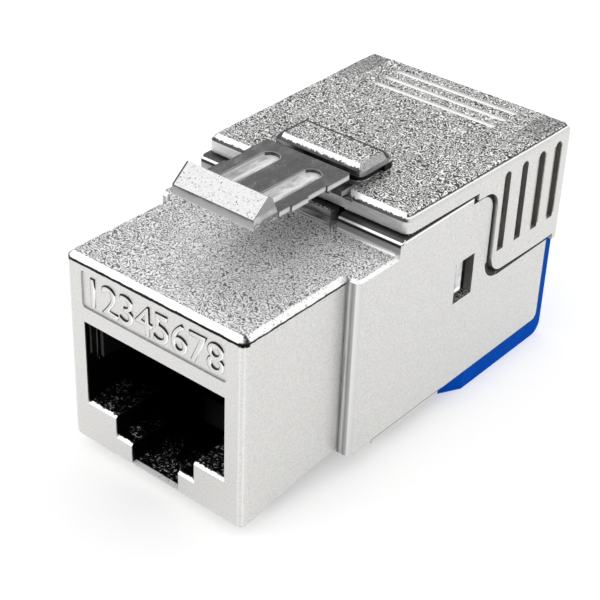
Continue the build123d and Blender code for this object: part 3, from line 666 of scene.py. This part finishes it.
def grip_marks(f, colour):
    """The grooves of the top with painted highlights, and the slots of the sides with painted
    shade.
    """
    strips = f.both(
        f.step(f.across, 6.82, 6.9),
        f.step(f.y, 26.9, 32.0),
        f.step(f.nz, 0.6, 0.8),
    )
    colour = f.blend(f.times(strips, 0.45), colour, 0.03)
    # Painted highlight: the floors of the grooves are white
    groove = f.both(
        f.band(f.z, 16.9, 17.20, 0.01),
        f.step(f.y, 28.4, 28.6),
        f.step(f.across, 5.6, 5.5),
        f.step(f.y, 32.6, 32.4),
    )
    colour = f.blend(groove, colour, 1.0)
    floor = f.both(
        f.step(f.across, SLOT_FLOOR + 0.10, SLOT_FLOOR + 0.05),
        f.step(f.across, 8.2, 8.3),
        f.step(f.y, 24.95, 25.05),
        f.step(f.z, 16.5, 16.45),
        f.step(f.z, 10.1, 10.2),
    )
    dull_grey = f.noise(3.0, 3.0, 0.6)
    dull_grey = f.ramp(dull_grey, (0.35, (0.19, 0.178, 0.148)), (0.65, (0.36, 0.34, 0.295)))
    colour = f.blend(floor, colour, dull_grey)
    # Painted shade: the walls of the slots darken with depth
    wall = f.both(
        f.band(f.across, SLOT_FLOOR + 0.06, COVER_HALF - 0.03, 0.01),
        f.step(f.sideways, 0.6, 0.4),
        f.band(f.y, 25.0, 33.0, 0.05),
        f.band(f.z, 10.1, 16.5, 0.05),
    )
    depth = f.less(f.across, SLOT_FLOOR)
    colour = f.blend(wall, colour, f.ramp(depth, (0.06, 0.30), (0.22, 0.38), (0.44, 0.45)))
    # Painted shade: a dark rim round each slot, where its edge is rounded
    rim = f.both(
        f.step(f.across, COVER_HALF - 0.05, COVER_HALF - 0.02),
        f.step(f.absolute(f.repeat(f.y, SLOT_START, SLOT_PITCH)), 0.55, 0.51),
        f.band(f.y, 24.9, 32.5, 0.05),
        f.band(f.z, 10.50, 16.12, 0.06),
    )
    return f.blend(rim, colour, dull_grey)


print("slots every", SLOT_PITCH, "mm from y", SLOT_START)

# %% [markdown]
# ## Marks of the cover: edges and strap
# The cover's front face is cloudy. Along its sides the grain reaches over the bevel to a
# ragged dark line of painted reflection, with a thin painted highlight under it, and the
# lower part of its front bevels is painted dark as well. The strap is the raised bridge that
# holds the root of the latch: its front and sides are painted darker as shade, a thin line
# of painted shade outlines its top, and the neck under it is painted nearly black as its
# shadow.

# %% Edges and strap
COVER_TOP, STRAP_TOP = 17.3, 18.4


def cover_edges(f, colour, nicks, cloud):
    """The front face of the cover, and the painted reflections and highlights of its bevels."""
    front = f.both(f.step(f.ny, -0.7, -0.9), f.step(f.y, 15.0, 14.9))
    colour = f.blend(front, colour, f.ramp(cloud, (0.35, 0.55), (0.65, 0.78)))
    # Painted reflection and highlight on the side bevels: a ragged dark line over a thin bright
    # one
    side_slope = f.both(
        f.step(f.sideways, 0.3, 0.45),
        f.band(f.nz, 0.3, 0.93, 0.03),
        f.band(f.z, 16.80, COVER_TOP + 0.05, 0.02),
    )
    edge = f.blend(f.step(f.z, 17.11, 17.15), f.satin, f.coarse)
    edge = f.blend(f.band(f.scaled(nicks, 0.12, f.z), 17.155, 17.215, 0.015), edge, 0.012)
    edge = f.blend(f.band(f.z, 17.01, 17.06, 0.012), edge, 1.0)
    colour = f.blend(side_slope, colour, edge)
    # Painted reflection: the lower part of the front bevels is dark
    front_bevel = f.both(f.step(f.ny, -0.4, -0.6), f.band(f.nz, 0.4, 0.9, 0.05))
    lower = f.step(f.scaled(nicks, 0.35, f.z), 17.22, 17.16)
    strap_lower = f.both(
        f.step(f.scaled(nicks, 0.5, f.z), 18.70, 18.60),
        f.step(f.z, 18.0, 18.1),
    )
    return f.blend(f.both(front_bevel, f.either(lower, strap_lower)), colour, 0.05)


def strap_marks(f, colour, cloud):
    """The raised strap: painted shade on its front, its sides, its outline and the neck under it.
    """
    upright = f.both(
        f.step(f.z, STRAP_FOOT, STRAP_FOOT + 0.04),
        f.step(f.z, STRAP_TOP - 0.04, STRAP_TOP - 0.08),
        f.step(f.nz, 0.5, 0.3),
    )
    front = f.ramp(cloud, (0.35, 0.03), (0.55, 0.10), (0.65, 0.30))
    side = f.ramp(cloud, (0.35, 0.30), (0.65, 0.50))
    colour = f.blend(upright, colour, f.blend(f.step(f.sideways, 0.5, 0.7), front, side))
    # Painted shade: a thin dark outline on the rear and left of the strap's top
    outline = f.both(
        f.step(f.z, STRAP_TOP - 0.20, STRAP_TOP - 0.15),
        f.either(
            f.both(f.step(f.y, 18.33, 18.38), f.step(f.across, 3.80, 3.75)),
            f.step(f.x, -3.14, -3.19),
        ),
    )
    colour = f.blend(outline, colour, 0.04)
    # Painted shadow: the neck under the strap is nearly black
    neck = f.both(
        f.step(f.z, COVER_TOP + 0.02, COVER_TOP + 0.05),
        f.step(f.z, STRAP_FOOT + 0.06, STRAP_FOOT + 0.04),
        f.step(f.nz, 0.9, 0.5),
    )
    return f.blend(neck, colour, 0.02)


def cover_marks(f, colour):
    """All marks of the cover; none of its metal is chalky."""
    cloud = f.noise(0.8, 3.0, 0.6, 0.0, f.stretch((0.6, 1.0, 4.0)))
    colour = grip_marks(f, colour)
    colour = cover_edges(f, colour, f.noise(5.0, 3.0, 0.75), cloud)
    return strap_marks(f, colour, cloud), 0.0


casting_cover = plated_casting("plated_casting_cover", cover_marks)
print("cover finish", len(casting_cover.node_tree.nodes), "nodes")

# %% [markdown]
# ## Marks of the pair shield
# Only the snap boss of the cross-shaped divider shows, in the side window of the housing. It
# is painted light in the middle with a painted highlight low down, and painted dark round
# its edge as shade. The rest of the divider is plain casting, and its outer ends, which lie
# in the shade of the side plates, are painted dark as that shade.

# %% Pair shield
BOSS_START, WINDOW_START = 8.3, 7.2


def shield_marks(f, colour):
    """The snap boss in the side window, painted with light and shade; none of its metal is
    chalky.
    """
    boss = f.step(f.across, BOSS_START, BOSS_START + 0.04)
    round_light = f.ramp(f.noise(1.1, 2.0, 0.5), (0.35, 0.45), (0.65, 0.80))
    edge = f.either(
        f.step(f.y, 20.80, 20.70),
        f.step(f.y, 21.40, 21.50),
        f.step(f.z, 11.0, 11.08),
    )
    low_light = f.band(f.z, 8.72, 8.95, 0.06)
    boss_colour = f.blend(edge, f.blend(low_light, round_light, 1.0), 0.06)
    # Painted shade on the outer ends behind the side plates
    behind_window = f.step(f.across, WINDOW_START, WINDOW_START + 0.2)
    return f.blend(boss, f.blend(behind_window, colour, 0.05), boss_colour), 0.0


casting_shield = plated_casting("plated_casting_shield", shield_marks)
print("shield finish", len(casting_shield.node_tree.nodes), "nodes")

# %% [markdown]
# ## Plastics
# The wire manager is a blue moulding with a nearly matt surface, and the comb and the towers
# are black. Both are one finish with other colours: a cloud of two close shades, and a fine
# roughness that keeps the gloss from looking like glass.


# %% Plastics
def moulded_plastic(name, dark, light, gloss):
    f = Finish(name)
    cloud = f.noise(0.9, 3.0, 0.6)
    fine = f.noise(12.0, 2.0, 0.5)
    colour = f.ramp(cloud, (0.3, dark), (0.7, light))
    rough = f.ramp(fine, (0.3, gloss + 0.08), (0.7, gloss - 0.06))
    relief = f.bump(fine, 0.10, 0.03)
    return f.set(Base_Color=colour, Roughness=rough, Normal=relief, Specular_IOR_Level=0.02)


BLUE_DARK, BLUE_LIGHT = (0.0, 0.074, 0.46), (0.0, 0.090, 0.57)
BLACK_DARK, BLACK_LIGHT = (0.006, 0.006, 0.007), (0.014, 0.014, 0.015)
blue_plastic = moulded_plastic("blue_plastic", BLUE_DARK, BLUE_LIGHT, 0.6)
black_plastic = moulded_plastic("black_plastic", BLACK_DARK, BLACK_LIGHT, 0.42)
print("plastics", blue_plastic.name, black_plastic.name)

# %% [markdown]
# ## Spring metals
# The contact wires are gold, the terminals tinned bronze, and the springs steel. Rolled and
# drawn metal has fine lines along its length, so a stretched noise gives all of them their
# colour, roughness and relief. The ground springs lie in the dark port, so their steel is
# painted darker as its shade, with only their front edges painted bright as a highlight.

# %% Spring metals
SPRING_EDGE = 1.36


def drawn_metal(name, low, high, roughness, bright_before=None):
    """Thin spring metal, with fine lines along Y where it was rolled."""
    f = Finish(name)
    lines = f.noise(6.0, 3.0, 0.6, 0.0, f.stretch((2.4, 0.25, 2.4)))
    colour = f.ramp(lines, (0.35, low), (0.65, high))
    if bright_before is not None:
        # Painted highlight on the front edge
        front = f.step(f.y, bright_before + 0.02, bright_before - 0.02)
        colour = f.blend(front, colour, 0.92)
    rough = f.ramp(lines, (0.35, roughness + 0.08), (0.65, roughness - 0.06))
    relief = f.bump(lines, 0.15, 0.02)
    return f.set(Base_Color=colour, Metallic=1.0, Roughness=rough, Normal=relief)


gold = drawn_metal("gold_contact", (0.72, 0.44, 0.12), (0.86, 0.56, 0.20), 0.24)
# Painted shade: the ground springs get a darker copy of the steel
shaded_steel = drawn_metal("shaded_steel", (0.05,) * 3, (0.10,) * 3, 0.34, SPRING_EDGE)
spring_steel = drawn_metal("spring_steel", (0.42, 0.41, 0.40), (0.60, 0.59, 0.57), 0.30)
tinned = drawn_metal("tinned_bronze", (0.55, 0.53, 0.49), (0.70, 0.68, 0.63), 0.32)
print("metals", [m.name for m in (gold, shaded_steel, spring_steel, tinned)])

# %% [markdown]
# ## Board
# The circuit board is green glass-fibre laminate. Bricks a sixth of a millimetre long stand
# in for the weave of the glass under the lacquer, with a mottle over them.


# %% Board
def laminate():
    f = Finish("board_laminate")
    weave = f.tree.nodes.new("ShaderNodeTexBrick")
    f.tree.links.new(f.place, weave.inputs["Vector"])
    weave.inputs["Scale"].default_value = 3.0
    weave.inputs["Color1"].default_value = (0.010, 0.075, 0.030, 1)
    weave.inputs["Color2"].default_value = (0.014, 0.090, 0.038, 1)
    weave.inputs["Mortar"].default_value = (0.030, 0.070, 0.030, 1)
    mottle = f.noise(2.0, 3.0, 0.6)
    colour = f.blend(f.times(mottle, 0.5), weave.outputs["Color"], (0.012, 0.06, 0.028))
    return f.set(Base_Color=colour, Roughness=0.35, Normal=f.bump(mottle, 0.1, 0.02))


board_finish = laminate()
print("board", board_finish.name)

# %% [markdown]
# ## Clear latch
# The latch is a clear, slightly smoke-tinted moulding. Its lip was left frosted by the mould
# on the sloping front, with specks and scratches, and carries fine lines across its end
# faces. The thin plate behind is painted dark with its tint and the shade of the gap under
# it, with two paler channels painted light. Each face gets a grey of its own, much of it
# painted light and shade, and where it is frosted or has such a grey it lets less light through.

# %% Lip of the latch
LIP_BACK, LIP_FLOOR, PLATE_BOTTOM = 7.7, 18.5, 18.0


def lip_greys(f, wave):
    """The frosted slope with its ends painted dark as shade, the end faces, and the front edge of
    the lip painted from a highlight to shade.
    """
    specks = f.ramp(f.noise(7.5, 3.0, 0.62, 0.4), (0.33, 0.05), (0.40, 0.92), (0.6, 1.0))
    scratch = f.noise(2.2, 2.0, 0.6, 1.2, f.stretch((0.8, 2.6, 2.6)))
    specks = f.blend(f.times(f.band(scratch, 0.495, 0.505, 0.006), 0.55), specks, 0.25)
    # The ends of the slope are painted dark as shade
    slope_ends = f.either(f.step(f.x, -3.24, -3.30), f.step(f.x, 3.34, 3.37))
    frosted = f.blend(slope_ends, specks, 0.04)

    slant = f.plus(f.times(f.y, 6.3), f.times(f.z, -7.7))
    lines = f.ramp(f.math("PINGPONG", slant, 0.6), (0.2, 0.10), (0.5, 0.80))
    foot = f.ramp(wave, (0.35, 0.45), (0.6, 0.85))
    lined = f.blend(f.step(f.z, 19.0, 18.8), lines, foot)

    # Painted highlight at the foot of the front edge, fading to painted shade at its top
    rise = f.less(f.scaled(wave, 0.3, f.z), PLATE_BOTTOM)
    edge = f.ramp(rise, (0.16, 0.95), (0.30, 0.55), (0.74, 0.42), (0.92, 0.06))
    return frosted, lined, edge


print("lip ends at y", LIP_BACK)

# %% Plate of the latch
CHANNEL_PITCH, CHANNEL_END = 3.5, 12.9


def plate_greys(f, wave, mist):
    """The plate, tinted and painted dark with the gap under it, with its channels painted light;
    gives back the colour and the channels' mask.
    """
    dust = f.step(f.noise(9.0, 2.0, 0.6), 0.66, 0.72)
    # The smoke tint and the painted shade of the gap under the plate, with dust
    smoke_and_gap_shade = f.ramp(mist, (0.34, 0.055), (0.52, 0.10), (0.68, 0.24))
    smoke_and_gap_shade = f.blend(dust, smoke_and_gap_shade, 0.6)
    cell = f.repeat(f.x, -CHANNEL_PITCH, CHANNEL_PITCH)
    behind = f.math("MAXIMUM", f.less(f.y, CHANNEL_END), 0.0)
    inward = f.distance((cell, 0.0), (behind, 0.0))
    on_plate = f.both(
        f.step(f.nz, 0.8, 0.9),
        f.step(f.y, LIP_BACK, LIP_BACK + 0.1),
        f.step(f.across, 2.6, 2.55),
    )
    channel = f.both(on_plate, f.step(f.z, 18.40, 18.34), f.step(f.z, 18.1, 18.2))
    rim = f.both(on_plate, f.band(inward, 0.66, 0.76, 0.03))
    streak = f.band(f.scaled(wave, 0.3, cell), 0.16, 0.44, 0.10)
    bead = f.step(f.less(CHANNEL_END + 0.45, f.y), 0.5, 0.1)
    # Painted light on the channels: their streaks, their beads and the rims round them
    channel_grey = f.ramp(mist, (0.34, 0.34), (0.50, 0.62), (0.62, 0.95))
    channel_grey = f.blend(f.times(f.either(streak, bead), 0.85), channel_grey, 1.0)
    colour = f.blend(channel, smoke_and_gap_shade, channel_grey)
    return f.blend(f.times(rim, 0.8), colour, 0.85), channel


print("channels", CHANNEL_PITCH, "mm apart, to y", CHANNEL_END)


# %% Clear plastic
def clear_plastic():
    f = Finish("clear_plastic")
    wave = f.noise(0.8, 3.0, 0.6)
    mist = f.noise(1.1, 3.0, 0.6, 0.5, f.stretch((1.4, 0.5, 1.0)))
    flat = f.step(f.sideways, 0.9, 0.95)
    frost = f.both(
        f.step(f.ny, -0.45, -0.6),
        f.step(f.nz, 0.4, 0.5),
        f.step(f.y, LIP_BACK - 0.7, LIP_BACK - 0.8),
    )
    lip = f.step(f.y, LIP_BACK + 0.05, LIP_BACK - 0.05)
    ends = f.both(lip, flat, f.step(f.z, LIP_FLOOR - 0.1, LIP_FLOOR + 0.1))
    nose = f.both(f.step(f.ny, -0.8, -0.95), f.step(f.y, 5.7, 5.6))
    wall = f.both(f.step(f.y, LIP_BACK + 0.1, LIP_BACK + 0.2), flat)

    # From the plate outwards: the painted highlight and shade of its pale edge, the painted
    # glints in the wedge of the lip, then the lip's faces
    colour, channel = plate_greys(f, wave, mist)
    rise = f.less(f.z, PLATE_BOTTOM)
    # Painted highlight and shade on the side wall of the plate
    wall_grey = f.ramp(rise, (0.08, 0.45), (0.14, 0.95), (0.36, 0.85), (0.44, 0.25))
    # Painted glints in the wedge of the lip
    ripple_glints = f.math("SINE", f.times(mist, 26.0))
    wedge = f.ramp(ripple_glints, (0.2, 0.34), (0.6, 0.62), (0.95, 1.0))
    frosted, lined, edge = lip_greys(f, wave)
    for mask, grey in (
        (wall, wall_grey),
        (lip, wedge),
        (nose, edge),
        (ends, lined),
        (frost, frosted),
    ):
        colour = f.blend(mask, colour, grey)

    solid = f.either(frost, f.times(f.either(ends, wall, channel, nose), 0.75))
    clear = f.times(f.less(1.0, solid, clamp=True), 0.55)
    return f.set(
        Base_Color=colour,
        Roughness=f.blend(frost, f.ramp(mist, (0.3, 0.10), (0.7, 0.22)), 0.5),
        Transmission_Weight=clear,
        IOR=1.49,
        Normal=f.bump(mist, 0.20, 0.05),
    )


latch_finish = clear_plastic()
print("latch finish", len(latch_finish.node_tree.nodes), "nodes")

# %% [markdown]
# ## Dressing the solids
# A solid keeps its shape and its place. Only the material in its slots changes, so a table
# from piece to finish is all that is needed. The hidden pieces are in it too, because a viewer
# who turns the jack or slides the cap back sees them.

# %% Which finish goes where
finish_of = {
    "front_housing": casting_housing,
    "rear_cover": casting_cover,
    "pair_shield": casting_shield,
    "latch_tab": latch_finish,
    "wire_manager": blue_plastic,
    "contact_insert": black_plastic,
    "circuit_board": board_finish,
    "ground_spring_left": shaded_steel,
    "ground_spring_right": shaded_steel,
    "screen_spring": spring_steel,
}
CONTACTS = range(1, 9)
finish_of.update({f"contact_spring_{n}": gold for n in CONTACTS})
finish_of.update({f"idc_contact_{n}": tinned for n in CONTACTS})
finish_of.update({f"idc_tower_{n}": black_plastic for n in range(1, 5)})
for name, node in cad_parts.items():
    node.data.materials.clear()
    node.data.materials.append(finish_of[name])
    for polygon in node.data.polygons:
        polygon.material_index = 0
print("dressed", len(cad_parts), "nodes")

# %% [markdown]
# ## Raised numbers
# The label panel over the port carries raised lettering on the real jack. Here it is the
# plain numbers of the eight contacts. Each is a line of type with a little thickness and a
# bevel, turned into a mesh, so its edges catch the light as the cast ones do. The rounded
# strokes are painted with shade on their left and top and with highlights on their other sides.

# %% Raised numbers
LABEL_FLOOR = 0.12
FIRST_X, NUMBER_PITCH = -5.25, 1.5
NUMBER_FOOT, NUMBER_HEIGHT = 11.35, 2.2
TYPE_PER_HEIGHT = 1.38


def number_marks(f, colour):
    """The rounded strokes of a raised number, painted with shade and highlights; none of its
    metal is chalky.
    """
    wall = f.step(f.ny, -0.99, -0.95)
    dark = f.either(f.step(f.nx, -0.08, -0.25), f.step(f.nz, 0.18, 0.36))
    return f.blend(wall, colour, f.blend(dark, 1.0, 0.008)), 0.0


number_finish = plated_casting("plated_casting_numbers", number_marks)


def raised_number(number, x, z, height):
    """One number as a mesh that stands on the floor of the label panel."""
    text = bpy.data.curves.new(f"number_{number}", "FONT")
    text.body = str(number)
    text.size = height * TYPE_PER_HEIGHT * MM
    text.extrude = 0.008 * MM
    text.bevel_depth = 0.10 * MM
    text.bevel_resolution = 2
    text.offset = -0.05 * MM
    text.align_x = "CENTER"
    shape = bpy.data.objects.new("type", text)
    bpy.context.scene.collection.objects.link(shape)
    bpy.context.view_layer.update()
    evaluated = shape.evaluated_get(bpy.context.evaluated_depsgraph_get())
    mesh = bpy.data.meshes.new_from_object(evaluated)
    bpy.data.objects.remove(shape)
    mesh.transform(Matrix.Rotation(math.radians(90), 4, "X"))
    mesh.transform(Matrix.Translation((x * MM, LABEL_FLOOR * MM, z * MM)))
    piece = bpy.data.objects.new(f"raised_number_{number}", mesh)
    bpy.context.scene.collection.objects.link(piece)
    return piece


for number in CONTACTS:
    number_x = FIRST_X + (number - 1) * NUMBER_PITCH
    digit = raised_number(number, number_x, NUMBER_FOOT, NUMBER_HEIGHT)
    digit.data.materials.clear()
    digit.data.materials.append(number_finish)
    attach(digit, "housing")

# %% [markdown]
# ## Floor and room
# The photograph is a product shot on pure white. The floor is white to the camera, to metal
# and through clear plastic, and a plain pale floor to everything else, so it keeps a soft
# shadow. The room is white too, which is what gives the metal its even grey.

# %% Floor
FLOOR_HALF = 1.5
FLOOR_GLOW = 0.37


def seen_directly(tree):
    """1 for rays from the camera, from metal and through clear plastic."""
    path = tree.nodes.new("ShaderNodeLightPath")
    total = path.outputs["Is Camera Ray"]
    for kind in ("Is Glossy Ray", "Is Transmission Ray"):
        larger = tree.nodes.new("ShaderNodeMath")
        larger.operation = "MAXIMUM"
        tree.links.new(total, larger.inputs[0])
        tree.links.new(path.outputs[kind], larger.inputs[1])
        total = larger.outputs[0]
    return total


def floor_material():
    material = bpy.data.materials.new("white_floor")
    material.use_nodes = True
    tree = material.node_tree
    shader = tree.nodes["Principled BSDF"]
    shader.inputs["Base Color"].default_value = (0.8, 0.8, 0.8, 1)
    shader.inputs["Roughness"].default_value = 0.9
    shader.inputs["Specular IOR Level"].default_value = 0.0
    shader.inputs["Emission Color"].default_value = (1, 1, 1, 1)
    strength = tree.nodes.new("ShaderNodeMath")
    strength.operation = "MULTIPLY"
    tree.links.new(seen_directly(tree), strength.inputs[0])
    strength.inputs[1].default_value = FLOOR_GLOW
    tree.links.new(strength.outputs[0], shader.inputs["Emission Strength"])
    return material


def white_floor(height):
    """A large square that lies under the jack."""
    mesh = bpy.data.meshes.new("floor")
    shape = bmesh.new()
    bmesh.ops.create_grid(shape, x_segments=1, y_segments=1, size=FLOOR_HALF)
    shape.to_mesh(mesh)
    shape.free()
    floor = bpy.data.objects.new("floor", mesh)
    floor.location.z = height
    bpy.context.scene.collection.objects.link(floor)
    mesh.materials.append(floor_material())
    floor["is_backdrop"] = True
    return floor


floor = white_floor(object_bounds()[0][2])
print("floor at", round(floor.location.z, 5))

# %% Room
ROOM_LIGHT, ROOM_SEEN = 0.80, 1.0
world = bpy.data.worlds.new("room")
bpy.context.scene.world = world
world.use_nodes = True
room = world.node_tree
background = room.nodes["Background"]
level = room.nodes.new("ShaderNodeMapRange")
room.links.new(seen_directly(room), level.inputs["Value"])
level.inputs["To Min"].default_value = ROOM_LIGHT
level.inputs["To Max"].default_value = ROOM_SEEN
room.links.new(level.outputs["Result"], background.inputs["Strength"])
background.inputs["Color"].default_value = (1, 1, 1, 1)
print("room light", ROOM_LIGHT, "seen as", ROOM_SEEN)

# %% [markdown]
# ## Lamps
# Three large soft lamps stand round the jack, as in a light tent. The strongest is at the
# front left, the next stands behind and above, and a weak one opens up the right side.

# %% Lamps
MIDDLE = (0, 0.016, 0.009)
LAMP_WIDTH = 0.30


def soft_lamp(name, place, power):
    """A square lamp that looks at the middle of the jack."""
    data = bpy.data.lights.new(name, "AREA")
    data.shape = "SQUARE"
    data.size = LAMP_WIDTH
    data.energy = power
    lamp = bpy.data.objects.new(name, data)
    bpy.context.scene.collection.objects.link(lamp)
    lamp.location = place
    direction = Vector(MIDDLE) - Vector(place)
    lamp.rotation_euler = direction.to_track_quat("-Z", "Y").to_euler()


soft_lamp("front_left_lamp", (-0.25, -0.30, 0.32), 0.35)
soft_lamp("right_lamp", (0.40, 0.05, 0.20), 0.12)
soft_lamp("rear_lamp", (0.05, 0.40, 0.35), 0.25)
bpy.context.scene.view_settings.view_transform = "Standard"

# %% [markdown]
# ## Finish
